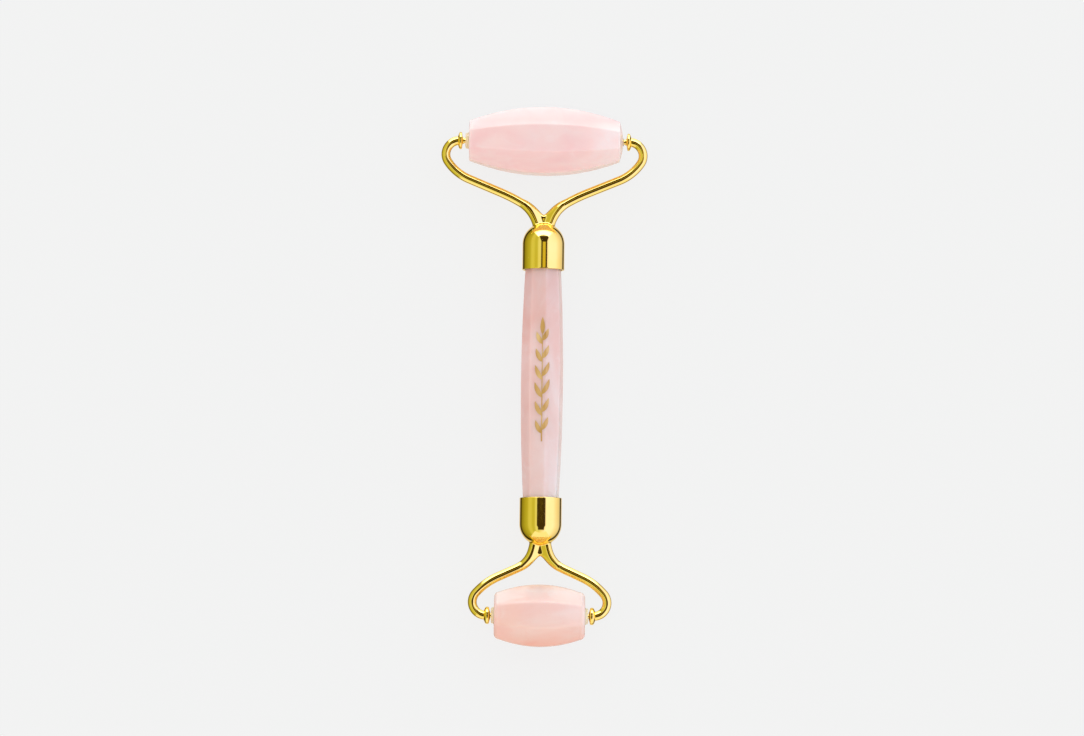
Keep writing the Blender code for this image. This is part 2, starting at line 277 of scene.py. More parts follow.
def turned(name, profile, place, loop=False, steps=ROUND_STEPS):
    """Spins (radius, height) points about an axis, where place(radius, angle, height) gives the point."""
    angles = [2 * math.pi * i / steps for i in range(steps)]
    rings = []
    for radius, height in braced(profile):
        if radius == 0:
            rings.append([place(0, 0, height)])
        else:
            rings.append([place(radius, angle, height) for angle in angles])
    return skin(name, rings, loop)


def octagon(apothem, ridge):
    """The (angle, radius) points round an octagon with its facets on the axes and its corners rounded."""
    distance = (apothem - ridge) / math.cos(FACET_HALF_ANGLE)
    points = []
    for facet in range(FACETS):
        corner = 2 * FACET_HALF_ANGLE * facet + FACET_HALF_ANGLE
        centre = Vector((distance * math.cos(corner), distance * math.sin(corner)))
        for i in range(ARC_STEPS + 1):
            angle = corner + FACET_HALF_ANGLE * (2 * i / ARC_STEPS - 1)
            points.append(centre + Vector((ridge * math.cos(angle), ridge * math.sin(angle))))
        start = points[-1]
        next_facet = corner + FACET_HALF_ANGLE
        normal = Vector((math.cos(next_facet), math.sin(next_facet)))
        end = 2 * normal * start.dot(normal) - start
        points += [start.lerp(end, i / FLAT_STEPS) for i in range(1, FLAT_STEPS)]
    return [(math.atan2(point.y, point.x), point.length) for point in points]


def crowned(mid_apothem, end_share, half_length):
    """The apothem of a barrel with a parabolic outline, as a function of the distance from its middle."""
    return lambda along: mid_apothem * (1 - (1 - end_share) * (along / half_length) ** 2)


def spread(low, high, count):
    return [low + (high - low) * i / (count - 1) for i in range(count)]


# ---------------------------------------------------------------- stones


def barrel_ring(place, apothem, ridge, along):
    return [place(radius, angle, along) for angle, radius in octagon(apothem, ridge)]


def round_ring(place, radius, pattern, along):
    """A circle whose points line up with those of the octagon that it joins."""
    return [place(radius, angle, along) for angle, _ in pattern]


def end_face(place, apothem, ridge, rim, along, outward, dome, bore):
    """Rings from a barrel's side over its rounded rim and across its end, flat or domed, to the bore."""
    rings = []
    for i in range(1, ARC_STEPS + 1):
        angle = math.pi / 2 * i / ARC_STEPS
        inset = rim * (1 - math.cos(angle))
        back = rim * (math.sin(angle) - 1)
        rings.append(barrel_ring(place, apothem - inset, ridge, along + outward * back))
    pattern = octagon(apothem - rim, ridge)
    for i in range(1, END_STEPS + 1):
        share = i / END_STEPS
        ring = []
        for angle, radius in pattern:
            shrunk = radius + (bore - radius) * share
            rise = dome * (1 - (shrunk / radius) ** 2) if dome else 0.0
            ring.append(place(shrunk, angle, along + outward * rise))
        rings.append(ring)
    return rings


def make_roller(head, ridge, rim, end_share):
    """A crowned octagonal barrel with a bore through it, its ends as flat or bulging as the CAD has them."""

    def place(radius, angle, along):
        y = head.axle_y + radius * math.cos(angle)
        return Vector((along, y, head.height + radius * math.sin(angle)))

    apothem = (head.stone_high.z - head.stone_low.z) / 2
    half = -head.stone_low.x
    dome = head.stone_high.x - half
    shape = crowned(apothem, end_share, half)
    pattern = octagon(apothem, ridge)
    left = end_face(place, shape(half - rim), ridge, rim, -half, -1, 0.0, ROLLER_BORE)
    right = end_face(place, shape(half - rim), ridge, rim, half, 1, dome, ROLLER_BORE)
    side = [barrel_ring(place, shape(x), ridge, x) for x in spread(rim - half, half - rim, STONE_STATIONS)]
    bore = [round_ring(place, ROLLER_BORE, pattern, x) for x in (0.5 * half, -0.5 * half)]
    mesh = skin(f"{head.name}_roller", left[::-1] + side + right + bore, loop=True)
    stone = roller_stones[head.name]
    body = f"{head.name}_roller"
    return new_object(f"{body}_polished", mesh, stone, body, [f"{body}_stone"])


def handle_frame():
    """The handle's middle, half length, middle apothem and its place function, from its CAD node."""
    low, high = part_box("handle_stone")
    middle = (low + high) / 2
    half = (high.y - low.y) / 2
    widest = math.cos(FACET_HALF_ANGLE - HANDLE_RIDGE_TURN)
    apothem = (high.z - low.z) / 2 / widest * math.cos(FACET_HALF_ANGLE)

    def place(radius, angle, along):
        turn = angle - HANDLE_RIDGE_TURN + FACET_HALF_ANGLE
        return middle + Vector((radius * math.cos(turn), along, radius * math.sin(turn)))

    return middle, half, apothem, place


def make_handle():
    """A slim crowned octagonal rod with a blind bore in each end for the studs."""
    middle, half, apothem, place = handle_frame()
    ridge, rim, bore = HANDLE_RIDGE, HANDLE_RIM, HANDLE_BORE
    shape = crowned(apothem, HANDLE_END_SHARE, half)
    pattern = octagon(apothem, ridge)
    floor = half - HANDLE_BORE_DEPTH
    ends = []
    for outward in (-1, 1):
        rings = end_face(place, shape(half - rim), ridge, rim, outward * half, outward, 0.0, bore)
        rings.append(round_ring(place, bore, pattern, outward * floor))
        rings.append([middle + Vector((0, outward * floor, 0))])
        ends.append(rings)
    stations = spread(rim - half, half - rim, STONE_STATIONS)
    side = [barrel_ring(place, shape(y), ridge, y) for y in stations]
    mesh = skin("handle", ends[0][::-1] + side + ends[1])
    return new_object("handle_polished", mesh, handle_stone, "handle", ["handle_stone"])


# ---------------------------------------------------------------- metal


def make_cap(head):
    """A round cap with a hemispherical crown, a rounded lip and the thin wall of a drawn shell."""
    radius = head.cap_radius
    straight = head.cap_length - radius
    inner = radius - CAP_WALL
    quarter = spread(0, math.pi / 2, CAP_ARC_STEPS)
    crown = [(radius * math.sin(a), straight + radius * math.cos(a)) for a in quarter]
    crown[0] = (0, head.cap_length)
    lip = rounded(
        [
            (radius, straight / 2, 0),
            (radius, 0, CAP_LIP),
            (CAP_BORE, 0, CAP_LIP),
            (CAP_BORE, CAP_BORE_DEPTH, 0),
            (inner, CAP_BORE_DEPTH, 0),
            (inner, straight, 0),
        ]
    )
    hollow = [(inner * math.cos(a), straight + inner * math.sin(a)) for a in quarter[1:]]
    hollow[-1] = (0, straight + inner)
    mesh = turned(f"{head.name}_cap", crown + [tuple(p) for p in lip] + hollow, head.about_handle_axis)
    name = f"{head.name}_cap_polished"
    return new_object(name, mesh, gold, "handle", [f"{head.name}_ferrule"])


def wire_route(head):
    """The right wire's centreline as (across, outward, heading), from its end at the pin to its foot.

    The straight before the first turn back is as long as it takes for the foot to come out at its offset.
    """
    first_back = next(i for i, (_, turn) in enumerate(head.bends) if turn < 0)

    def walk(straight):
        across, outward, heading = head.wire_reach, head.axle, 0.0
        route = [(across, outward, heading)]
        for i, (radius, degrees) in enumerate(head.bends):
            if i == first_back:
                across += straight * math.cos(heading)
                outward -= straight * math.sin(heading)
                route.append((across, outward, heading))
            turn = math.radians(degrees)
            steps = math.ceil(abs(turn) / BEND_STEP)
            chord = 2 * radius * math.sin(abs(turn) / steps / 2)
            for _ in range(steps):
                heading += turn / steps / 2
                across += chord * math.cos(heading)
                outward -= chord * math.sin(heading)
                heading += turn / steps / 2
                route.append((across, outward, heading))
        return route

    slope = sum(math.radians(turn) for _, turn in head.bends[:first_back])
    excess = walk(0.0)[-1][0] - WIRE_FOOT_OFFSET
    route = walk(excess / -math.cos(slope))
    return route + [(WIRE_FOOT_OFFSET, WIRE_FOOT, route[-1][2])]


def make_wire(head, route, side, sign):
    """A round wire along the route, with a flat at each end."""
    angles = [2 * math.pi * i / TUBE_STEPS for i in range(TUBE_STEPS)]
    rings = [[head.at(sign * route[0][0], route[0][1])]]
    for across, outward, heading in route:
        ring = []
        for angle in angles:
            sideways = WIRE_RADIUS * math.cos(angle)
            x = across + sideways * math.sin(heading)
            y = outward + sideways * math.cos(heading)
            ring.append(head.at(sign * x, y, WIRE_RADIUS * math.sin(angle)))
        rings.append(ring)
    rings.append([head.at(sign * route[-1][0], route[-1][1])])
    name = f"{head.name}_{side}_wire"
    return new_object(name, skin(name, rings), gold, "handle", [f"{head.name}_{side}_arm"])


def smooth_union(one, other, reach):
    """The distance to two shapes joined by a fillet: the smaller one, lowered where the two are alike."""
    share = np.maximum(reach - np.abs(one - other), 0) / reach
    return np.minimum(one, other) - share**2 * reach / 4


def distance_to_route(across, outward, up, route):
    """The distance from points to the line through a route's points."""
    best = np.full(across.shape, np.inf)
    for (x0, y0, _), (x1, y1, _) in zip(route, route[1:]):
        run, rise = x1 - x0, y1 - y0
        share = ((across - x0) * run + (outward - y0) * rise) / (run * run + rise * rise)
        share = np.clip(share, 0, 1)
        squared = (across - x0 - share * run) ** 2 + (outward - y0 - share * rise) ** 2 + up**2
        best = np.minimum(best, squared)
    return np.sqrt(best)


def web_distance(across, outward, up, head, route):
    """The distance to the web between the wires: a plate whose rounded edge rises from the notch in a V."""
    far, reach = zip(*sorted((point[1], point[0]) for point in route))
    half_width = np.minimum(np.interp(outward, far, reach), WEB_HALF_WIDTH)
    slant = np.sqrt(across**2 + NOTCH_ROUNDING**2)
    shoulder = np.maximum(np.abs(across) - WEB_SHOULDER, 0)
    edge = head.notch + head.slope * (slant - NOTCH_ROUNDING) - WEB_SHOULDER_CURVE * shoulder**2
    steepness = head.slope * across / slant
    depth = np.maximum(WEB_EDGE - (edge - outward) / np.sqrt(1 + steepness**2), 0)
    oval = np.sqrt((depth / WEB_EDGE) ** 2 + (up / WEB_HALF_THICKNESS) ** 2) - 1
    return np.maximum(oval * WEB_HALF_THICKNESS, np.abs(across) - half_width)


def root_field(head, route):
    """The signed distance to the brazed root: wires and web, blended with each other and the crown."""
    far_out, far_off = head.notch + 2 * ROOT_REACH, 4 * ROOT_REACH
    near = [point for point in route if point[1] < far_out and point[0] < far_off][::2]
    straight = head.cap_length - head.cap_radius

    def field(points):
        across, outward, up = points[..., 0], points[..., 1], points[..., 2]
        wires = distance_to_route(np.abs(across), outward, up, near) - WIRE_RADIUS
        web = web_distance(across, outward, up, head, near)
        beyond = np.maximum(outward - straight, 0)
        crown = np.sqrt(across**2 + beyond**2 + up**2) - head.cap_radius
        fork = smooth_union(wires, web, WEB_FILLET)
        taper = ROOT_TAPER * np.maximum(np.abs(across) - ROOT_TAPER_START, 0)
        filled = smooth_union(fork, crown, CROWN_FILLET) + ROOT_UNDERCUT + taper
        sleeve = np.minimum(wires, web) - ROOT_SLEEVE
        root = np.maximum(np.maximum(filled, sleeve), ROOT_LOW - outward)
        root = np.maximum(root, outward - head.notch - ROOT_REACH)
        return np.maximum(root, np.abs(across) - ROOT_HALF_WIDTH)

    return field


def surface_net(field, low, high, cell):
    """Vertices and quads of the surface where a signed distance is zero, on a grid of cells in a box."""
    counts = [int(math.ceil((high[i] - low[i]) / cell)) + 1 for i in range(3)]
    axes = [low[i] + cell * np.arange(counts[i]) for i in range(3)]
    inside = field(np.stack(np.meshgrid(*axes, indexing="ij"), -1)) < 0
    total = np.zeros([n - 1 for n in counts], int)
    for dx in (0, 1):
        for dy in (0, 1):
            for dz in (0, 1):
                total += inside[dx : counts[0] - 1 + dx, dy : counts[1] - 1 + dy, dz : counts[2] - 1 + dz]
    mixed = (total > 0) & (total < 8)
    number = np.full(mixed.shape, -1)
    number[mixed] = np.arange(mixed.sum())
    vertices = np.array(low) + (np.argwhere(mixed) + 0.5) * cell
    quads = []
    for axis in range(3):
        one, two = [other for other in range(3) if other != axis]
        start = np.moveaxis(inside, (axis, one, two), (0, 1, 2))[:, 1:-1, 1:-1]
        cells = np.moveaxis(number, (axis, one, two), (0, 1, 2))
        change = start[1:] != start[:-1]
        corners = [cells[:, :-1, :-1], cells[:, 1:, :-1], cells[:, 1:, 1:], cells[:, :-1, 1:]]
        quads.append(np.stack([corner[change] for corner in corners], -1))
    return vertices, np.concatenate(quads)


def settle(points, field, cell, rounds=6):
    """Moves points onto the zero surface of a field, along its slope."""
    step = cell * 0.05
    for _ in range(rounds):
        value = field(points)
        slope = np.stack([field(points + ahead) - field(points - ahead) for ahead in step * np.eye(3)], -1)
        slope /= 2 * step
        size = np.maximum((slope**2).sum(-1), 0.05)
        move = np.clip(value / size, -0.5 * cell, 0.5 * cell)
        points = points - slope * move[:, None]
    return points


def add_lug(surface, head):
    """The turned lug inside the cap that the wires stand in, drilled for the stud from below."""
    profile = [
        (0, LUG_HIGH),
        (LUG_RADIUS - LUG_CHAMFER, LUG_HIGH),
        (LUG_RADIUS, LUG_HIGH - LUG_CHAMFER),
        (LUG_RADIUS, LUG_LOW),
        (STUD_HOLE, LUG_LOW),
        (STUD_HOLE, STUD_HOLE_END),
        (0, STUD_HOLE_END),
    ]
    lug = turned(f"{head.name}_lug", profile, head.about_handle_axis, steps=TUBE_STEPS)
    surface.from_mesh(lug)
    bpy.data.meshes.remove(lug)


def make_fork_root(head, route):
    """The lug inside the cap and the brazed root that shows above it, as one piece."""
    field = root_field(head, route)
    side = ROOT_HALF_WIDTH + 3 * ROOT_CELL
    front = WIRE_RADIUS + ROOT_DEPTH
    low = (-side, ROOT_LOW - 3 * ROOT_CELL, -front)
    high = (side, head.notch + ROOT_REACH + 3 * ROOT_CELL, front)
    points, quads = surface_net(field, low, high, ROOT_CELL)
    points = settle(points, field, ROOT_CELL)
    surface = bmesh.new()
    made = [surface.verts.new(head.at(*point)) for point in points.tolist()]
    for quad in quads.tolist():
        surface.faces.new([made[i] for i in quad])
    add_lug(surface, head)
    bmesh.ops.recalc_face_normals(surface, faces=surface.faces)
    name = f"{head.name}_fork_root_brazed"
    mesh = bpy.data.meshes.new(name)
    surface.to_mesh(mesh)
    surface.free()
    return new_object(name, mesh, gold, "handle", [f"{head.name}_fork_root"])


def make_collar(head, side, sign):
    """A lens-shaped collar on the wire's end, with a boss towards the bush."""
    end = head.wire_reach
    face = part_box(f"{head.name}_right_collar")[0].x - end
    start, stop = head.rim
    boss, root = head.boss
    outline = [
        (WIRE_RADIUS - 0.1 * MM, COLLAR_TAIL, 0),
        (WIRE_RADIUS + 0.25 * MM, COLLAR_TAIL, 0.14 * MM),
        (head.collar_radius, start, (start - stop) * 0.42),
        (head.collar_radius, stop, (start - stop) * 0.42),
        (boss + 0.25 * MM, root, 0.14 * MM),
        (boss, root - 0.08 * MM, 0.04 * MM),
        (boss, face, 0.1 * MM),
        (PIN_RADIUS, face, 0),
        (PIN_RADIUS, -0.15 * MM, 0),
        (WIRE_RADIUS - 0.1 * MM, -0.15 * MM, 0),
    ]
    profile = [(radius, end + height) for radius, height in rounded(outline)]
    name = f"{head.name}_{side}_collar_polished"
    mesh = turned(name, profile, head.about_axle(sign), loop=True, steps=TUBE_STEPS * 2)
    return new_object(name, mesh, gold, "handle", [f"{head.name}_{side}_collar"])


def make_pin(head, side, sign):
    """A pivot pin with rounded ends, from inside the wire into the bush."""
    low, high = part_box(f"{head.name}_right_pin")
    outline = [
        (0, high.x, 0),
        (PIN_RADIUS, high.x, PIN_ROUNDING),
        (PIN_RADIUS, low.x, PIN_ROUNDING),
        (0, low.x, 0),
    ]
    profile = [(radius, height) for radius, height in rounded(outline)]
    name = f"{head.name}_{side}_pin_polished"
    mesh = turned(name, profile, head.about_axle(sign), steps=TUBE_STEPS)
    return new_object(name, mesh, gold, "handle", [f"{head.name}_{side}_pin"])


def make_bush(head, side, sign):
    """A moulded bush: a sleeve in the stone's bore, and a conical flange against the stone's end."""
    low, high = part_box(f"{head.name}_right_bush")
    radius = (high.z - low.z) / 2
    bore = PIN_RADIUS + PIN_PLAY
    face = high.x
    seat = -head.stone_low.x + 0.02 * MM
    sunk = sign > 0 and head.stone_high.x > -head.stone_low.x + MM / 10
    outline = [
        (bore, low.x, 0),
        (bore, face - 0.25 * MM, 0.1 * MM),
        (bore + 0.3 * MM, face, 0.12 * MM),
        (radius - 0.38 * MM, face, 0.2 * MM),
        (radius, seat, 0.1 * MM),
        (SLEEVE_RADIUS, seat - 0.05 * MM, 0.05 * MM),
        (SLEEVE_RADIUS, low.x, 0.2 * MM),
        (bore, low.x, 0),
    ]
    if sunk:
        outline[3:6] = [
            (SUNK_NECK, face, 0.12 * MM),
            (SUNK_NECK, face - 1.2 * MM, 0.1 * MM),
            (SLEEVE_RADIUS, face - 1.3 * MM, 0.1 * MM),
        ]
    profile = [(r, h) for r, h in rounded(outline)][:-1]
    name = f"{head.name}_{side}_bush_moulded"
    mesh = turned(name, profile, head.about_axle(sign), loop=True, steps=TUBE_STEPS * 2)
    return new_object(name, mesh, nylon, f"{head.name}_roller", [f"{head.name}_{side}_bush"])


# ---------------------------------------------------------------- foil


def blade(start, heading, length, curl, half_width):
    """Rings of a strip of foil along a curling line, as wide at each share of its length as half_width says.

    Each ring runs along the foil's upper face and back along the face that is bedded in the stone.
    """
    rings = []
    x, y = start
    for i in range(FOIL_ROWS + 1):
        share = i / FOIL_ROWS
        direction = heading + curl * share
        normal = (math.cos(direction), -math.sin(direction))
        reach = half_width(share)
        row = []
        for j in range(FOIL_COLUMNS + 1):
            offset = reach * (2 * j / FOIL_COLUMNS - 1)
            row.append((x + offset * normal[0], y + offset * normal[1]))
        top = [handle_surface(*point, FOIL_LIFT) for point in row]
        bottom = [handle_surface(*point, -FOIL_ROOT) for point in reversed(row)]
        rings.append(top + bottom)
        x += length / FOIL_ROWS * math.sin(direction)
        y += length / FOIL_ROWS * math.cos(direction)
    return rings


def handle_surface(x, along, lift):
    """The point of the handle's upper surface at x and so far along its axis, lifted by a little."""
    middle, half, apothem, _ = handle_frame()
    reach = crowned(apothem, HANDLE_END_SHARE, half)(along) + lift
    heights = []
    for turn in (-3, -1, 1, 3):
        normal = HANDLE_RIDGE_TURN + turn * FACET_HALF_ANGLE
        heights.append((reach - x * math.sin(normal)) / math.cos(normal))
    return middle + Vector((x, along, min(heights)))


def closed_strip(bm, rings):
    """Adds a strip of rings with a flat cap at each end."""
    made = [[bm.verts.new(point) for point in ring] for ring in rings]
    for one, other in zip(made, made[1:]):
        for i in range(len(one)):
            j = (i + 1) % len(one)
            bm.faces.new((one[i], one[j], other[j], other[i]))
    bm.faces.new(made[0])
    bm.faces.new(made[-1])


def leaf_width(share):
    """Pointed at the tip, narrow at the stalk, widest just before the middle."""
    return LEAF_HALF_WIDTH * (0.04 + 0.96 * math.sin(math.pi * share**0.8) ** 0.9)


def stem_width(share):
    """Widest at its foot."""
    return STEM_HALF_WIDTH * (1 - STEM_TAPER * share)


def make_sprig():
    """A slender stem with leaves in pairs and one at its tip."""
    bm = bmesh.new()
    start = SPRIG_OFFSET - SPRIG_LENGTH / 2
    stem_length = SPRIG_LENGTH - LEAF_LENGTH
    closed_strip(bm, blade((0, start), 0, stem_length, 0, stem_width))
    for i in range(SPRIG_PAIRS):
        share = (i + FIRST_PAIR) / SPRIG_PAIRS
        size = 1 - LEAF_SHRINK * abs(2 * share - LONGEST_LEAF)
        for sign in (-1, 1):
            foot = (0, start + stem_length * share + sign * LEAF_STAGGER)
            leaf = blade(foot, sign * LEAF_SPREAD, LEAF_LENGTH * size, -sign * LEAF_CURL, leaf_width)
            closed_strip(bm, leaf)
    closed_strip(bm, blade((0, start + stem_length), 0, LEAF_LENGTH, 0, leaf_width))
    bmesh.ops.recalc_face_normals(bm, faces=bm.faces)
    mesh = bpy.data.meshes.new("handle_leaf_sprig")
    bm.to_mesh(mesh)
    bm.free()
    return new_object("handle_leaf_sprig", mesh, foil, "handle", [])


# ---------------------------------------------------------------- materials


class Nodes:
    """A material's node tree around its Principled shader, with short calls to add and join nodes."""

    def __init__(self, tree):
        self.tree = tree

    def add(self, kind, **settings):
        node = self.tree.nodes.new(kind)
        for key, value in settings.items():
            setattr(node, key, value)
        return node

    def link(self, output, target):
        self.tree.links.new(output, target)

    def noise(self, coordinates, scale, detail=2.0, roughness=0.5, distortion=0.0):
        node = self.add("ShaderNodeTexNoise")
        node.inputs["Scale"].default_value = scale
        node.inputs["Detail"].default_value = detail
        node.inputs["Roughness"].default_value = roughness
        node.inputs["Distortion"].default_value = distortion
        self.link(coordinates, node.inputs["Vector"])
        return node.outputs["Fac"]

    def ramp(self, factor, stops):
        """A colour ramp with (position, colour) stops."""
        node = self.add("ShaderNodeValToRGB")
        elements = node.color_ramp.elements
        while len(elements) < len(stops):
            elements.new(0.5)
        for element, (position, colour) in zip(elements, stops):
            element.position = position
            element.color = (*colour, 1)
        self.link(factor, node.inputs["Fac"])
        return node.outputs["Color"]

    def between(self, value, low, high, to_low=0.0, to_high=1.0, smooth=True):
        """Maps a value from one range to another and holds it at the ends."""
        node = self.add("ShaderNodeMapRange")
        node.interpolation_type = "SMOOTHSTEP" if smooth else "LINEAR"
        node.inputs["From Min"].default_value = low
        node.inputs["From Max"].default_value = high
        node.inputs["To Min"].default_value = to_low
        node.inputs["To Max"].default_value = to_high
        self.link(value, node.inputs["Value"])
        return node.outputs["Result"]

    def math(self, operation, *values):
        node = self.add("ShaderNodeMath", operation=operation)
        for socket, value in zip(node.inputs, values):
            if isinstance(value, (int, float)):
                socket.default_value = value
            else:
                self.link(value, socket)
        return node.outputs["Value"]

    def mix(self, factor, one, other, blend="MIX"):
        """Mixes two colours, each one an output or a plain colour."""
        node = self.add("ShaderNodeMix", data_type="RGBA", blend_type=blend)
        sockets = {"Factor": node.inputs[0], "A": node.inputs[6], "B": node.inputs[7]}
        for key, value in (("Factor", factor), ("A", one), ("B", other)):
            if isinstance(value, (int, float)):
                sockets[key].default_value = value
            elif isinstance(value, tuple):
                sockets[key].default_value = (*value, 1)
            else:
                self.link(value, sockets[key])
        return node.outputs[2]

    def stretched(self, scale):
        """The object's own coordinates, scaled along each axis."""
        coordinates = self.add("ShaderNodeTexCoord")
        mapping = self.add("ShaderNodeMapping")
        mapping.inputs["Scale"].default_value = scale
        self.link(coordinates.outputs["Object"], mapping.inputs["Vector"])
        return mapping.outputs["Vector"]

    def window(self, value, low, high, soft):
        """One where a value lies between two bounds, with soft edges."""
        rise = self.between(value, low - soft, low + soft)
        return self.math("MULTIPLY", rise, self.between(value, high + soft, high - soft))

    def bump(self, height, strength, distance):
        node = self.add("ShaderNodeBump")
        node.inputs["Strength"].default_value = strength
        node.inputs["Distance"].default_value = distance
        self.link(height, node.inputs["Height"])
        return node.outputs["Normal"]


def new_material(name):
    material = bpy.data.materials.new(name)
    material.use_nodes = True
    return material, Nodes(material.node_tree), material.node_tree.nodes["Principled BSDF"].inputs


def make_gold():
    """Polished yellow gold plate, with the faint waviness of hand polishing."""
    material, nodes, shader = new_material("polished_gold")
    coordinates = nodes.stretched((1, 1, 1))
    patches = nodes.noise(coordinates, 180.0, detail=3.0)
    colour = nodes.mix(nodes.between(patches, 0.35, 0.65), (1.0, 0.73, 0.12), (1.0, 0.76, 0.14))
    nodes.link(colour, shader["Base Color"])
    wear = nodes.noise(coordinates, 900.0, detail=4.0, roughness=0.6)
    nodes.link(nodes.between(wear, 0.3, 0.75, 0.035, 0.085), shader["Roughness"])
    nodes.link(nodes.bump(nodes.noise(coordinates, 420.0, detail=1.0), 0.04, 0.05 * MM), shader["Normal"])
    shader["Metallic"].default_value = 1.0
    return material


def make_foil():
    """Hot-stamped bronze-gold foil: a satin surface, a little uneven in tone."""
    material, nodes, shader = new_material("stamped_foil")
    coordinates = nodes.stretched((1, 1, 1))
    tone = nodes.noise(nodes.stretched((1, 0.4, 1)), 260.0, detail=2.0)
    tones = [(0.32, (0.50, 0.27, 0.08)), (0.5, (0.62, 0.36, 0.12)), (0.68, (0.80, 0.55, 0.25))]
    nodes.link(nodes.ramp(tone, tones), shader["Base Color"])
    grain = nodes.noise(coordinates, 4000.0, detail=2.0)
    nodes.link(nodes.between(grain, 0.3, 0.7, 0.34, 0.48), shader["Roughness"])
    nodes.link(nodes.bump(grain, 0.12, 0.01 * MM), shader["Normal"])
    shader["Metallic"].default_value = 0.2
    shader["Specular Tint"].default_value = (1.0, 0.75, 0.3, 1.0)
    return material


def make_stone(name, deep, body, pale, grain_axis, tones):
    """Polished rose quartz: cloudy pink with paler veils and a few fine pinker threads, lit from within.

    The last argument gives ramps of tint along some axes, multiplied into the colour. Across Y on the
    rollers they paint highlight on the slanted facets, and paint shade under the lower roller and along a
    ridge of the upper one; along X and along the handle they make the stone a little paler at some places
    and pinker at others.
    """
    material, nodes, shader = new_material(name)
    along = tuple(0.45 if axis == grain_axis else 1.0 for axis in "XYZ")
    coordinates = nodes.stretched(along)
    clouds = nodes.noise(coordinates, 95.0, detail=3.0, roughness=0.55, distortion=0.6)
    colour = nodes.ramp(clouds, [(0.30, deep), (0.50, body), (0.70, pale)])
    veil = nodes.noise(nodes.stretched((0.6, 0.8, 1.2)), 210.0, detail=4.0, roughness=0.6, distortion=1.2)
    colour = nodes.mix(nodes.between(veil, 0.52, 0.72, 0.0, 0.35), colour, pale)
    thread = nodes.noise(coordinates, 150.0, detail=2.0, distortion=2.0)
    ridge = nodes.math("ABSOLUTE", nodes.math("SUBTRACT", thread, 0.5))
    colour = nodes.mix(nodes.between(ridge, 0.0, 0.012, 0.22, 0.0), colour, deep)
    places = nodes.add("ShaderNodeSeparateXYZ")
    nodes.link(nodes.stretched((1, 1, 1)), places.inputs["Vector"])
    # Multiplies in the ramps along each axis: painted highlight and painted shade across Y on the rollers,
    # plain shifts of tint elsewhere.
    for axis, light_and_tint_stops in tones.items():
        first, last = light_and_tint_stops[0][0], light_and_tint_stops[-1][0]
        share = nodes.between(places.outputs[axis], first, last, smooth=False)
        stops = [((place - first) / (last - first), tint) for place, tint in light_and_tint_stops]
        colour = nodes.mix(1.0, colour, nodes.ramp(share, stops), blend="MULTIPLY")
    nodes.link(colour, shader["Base Color"])
    haze = nodes.noise(coordinates, 700.0, detail=3.0)
    nodes.link(nodes.between(haze, 0.3, 0.7, 0.14, 0.24), shader["Roughness"])
    nodes.link(nodes.bump(nodes.noise(coordinates, 320.0, detail=2.0), 0.05, 0.08 * MM), shader["Normal"])
    shader["Subsurface Weight"].default_value = 0.8
    shader["Specular Tint"].default_value = (1.0, 0.97, 0.38, 1.0)
    shader["Subsurface Radius"].default_value = (1.0, 0.82, 0.78)
    shader["Subsurface Scale"].default_value = 2.2 * MM
    shader["IOR"].default_value = 1.54
    return material


def make_nylon():
    """Natural nylon: a cream, translucent moulding."""
    material, nodes, shader = new_material("natural_nylon")
    coordinates = nodes.stretched((1, 1, 1))
    tone = nodes.noise(coordinates, 500.0, detail=2.0)
    colour = nodes.ramp(tone, [(0.35, (1.0, 0.72, 0.46)), (0.65, (1.0, 0.80, 0.56))])
    nodes.link(colour, shader["Base Color"])
    nodes.link(nodes.between(tone, 0.3, 0.7, 0.22, 0.34), shader["Roughness"])
    shader["Subsurface Weight"].default_value = 0.9
    shader["Subsurface Radius"].default_value = (1.0, 0.9, 0.8)
    shader["Subsurface Scale"].default_value = 0.7 * MM
    shader["IOR"].default_value = 1.5
    return material


def make_steel():
    """Bright zinc-plated steel with turning marks, for the studs inside the handle."""
    material, nodes, shader = new_material("plated_steel")
    rings = nodes.noise(nodes.stretched((0.1, 1, 0.1)), 3000.0, detail=2.0)
    colour = nodes.ramp(rings, [(0.3, (0.52, 0.52, 0.53)), (0.7, (0.66, 0.66, 0.65))])
    nodes.link(colour, shader["Base Color"])
    nodes.link(nodes.between(rings, 0.3, 0.7, 0.24, 0.38), shader["Roughness"])
    shader["Metallic"].default_value = 1.0
    return material


# ---------------------------------------------------------------- stage, light and camera

FLOOR_GREY = 0.888
FLOOR_SIZE = 3.0
SHADOW_SHARE = 0.10
VIEW_WIDTH = 291.4 * MM
VIEW_DISTANCE = 1.35
VIEW_TILT = math.radians(4.5)
VIEW_ROLL = math.radians(0.63)
VIEW_RISE = 4.28 * MM
SENSOR = 36.0

# The light on the stones, as (level, rise by x, rise by y) for red, green and blue.
FILL = ((1.03, 0.03, 0.08), (1.06, 0.17, 0.24), (1.04, 0.19, 0.28))

# What the metal mirrors: in the gaps between screens, below, in the slot overhead and at the two ends.
DEGREE = math.radians(1)
GLOW_GAP = (0.03, 0.021, 0.012)
GLOW_BELOW = (0.78, 0.70, 0.64)
GLOW_SLOT = (0.055, 0.038, 0.02)
GLOW_LIFT = (0.68, 0.58, 0.13)
GLOW_TOP_LOW = (2.6, 2.6, 3.5)
GLOW_TOP_HIGH = (3.3, 3.4, 6.4)
GLOW_BOTTOM = (1.12, 1.08, 1.7)


